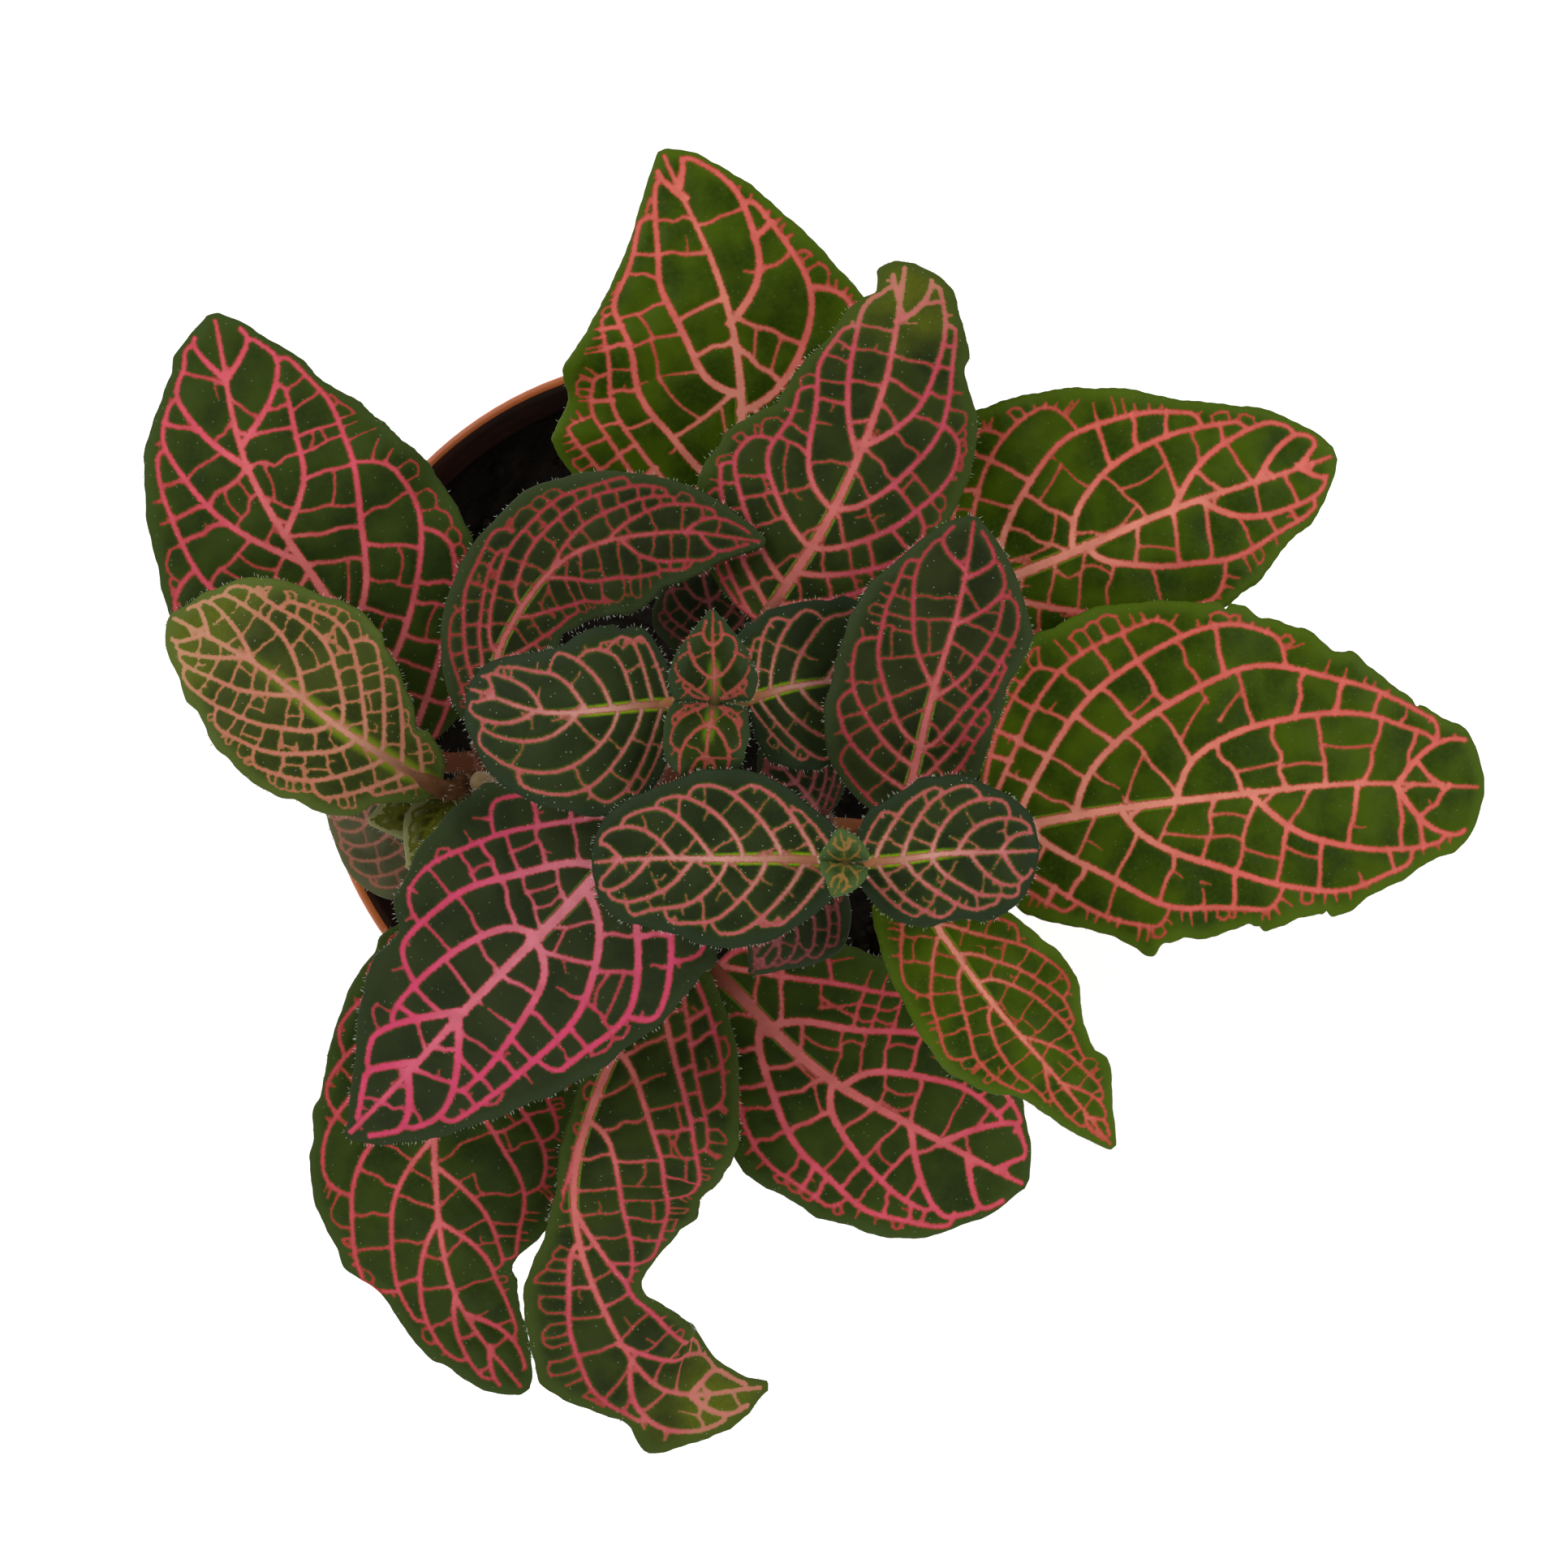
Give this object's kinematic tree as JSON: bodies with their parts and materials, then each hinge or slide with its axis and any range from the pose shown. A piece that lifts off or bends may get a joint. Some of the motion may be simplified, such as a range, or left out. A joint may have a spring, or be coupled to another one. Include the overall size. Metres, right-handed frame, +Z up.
{
  "type": "potted nerve plant",
  "caption": "Low nerve plant with broad pink-veined dark green leaves on upright stems, in a round tapered nursery pot of soil.",
  "frame": {"origin": "middle of the pot's flat underside", "axes": "+Z up along the pot's axis; -Y is the side at the bottom of the picture and +X the side at its right"},
  "size_m": [0.1591, 0.1539, 0.1427],
  "materials": {
    "pot": "satin",
    "soil": "matte",
    "stem": "matte",
    "young_leaf": "satin",
    "grown_leaf": "satin"
  },
  "bodies": {
    "root": {"pot": "pot", "soil": "soil", "stem_middle": "stem", "stem_right": "stem", "stem_left": "stem", "stem_front": "stem", "bud_middle_north": "young_leaf", "bud_middle_south": "young_leaf", "leaf_middle_west": "young_leaf", "leaf_middle_east": "young_leaf", "leaf_middle_northeast": "young_leaf", "leaf_middle_southwest": "young_leaf", "leaf_middle_far_east": "grown_leaf", "leaf_middle_north": "grown_leaf", "leaf_middle_deep": "grown_leaf", "bud_right_north": "young_leaf", "bud_right_south": "young_leaf", "leaf_right_west": "young_leaf", "leaf_right_east": "young_leaf", "leaf_right_north": "young_leaf", "leaf_right_southeast": "grown_leaf", "leaf_right_far_east": "grown_leaf", "leaf_right_deep": "young_leaf", "leaf_right_northwest": "young_leaf", "bud_left_north": "young_leaf", "bud_left_south": "young_leaf", "leaf_left_west": "young_leaf", "leaf_left_east": "young_leaf", "leaf_left_north": "grown_leaf", "leaf_left_deep": "grown_leaf", "leaf_front_south": "young_leaf", "leaf_front_southeast": "young_leaf", "leaf_front_southwest": "young_leaf"}
  },
  "joints": []
}
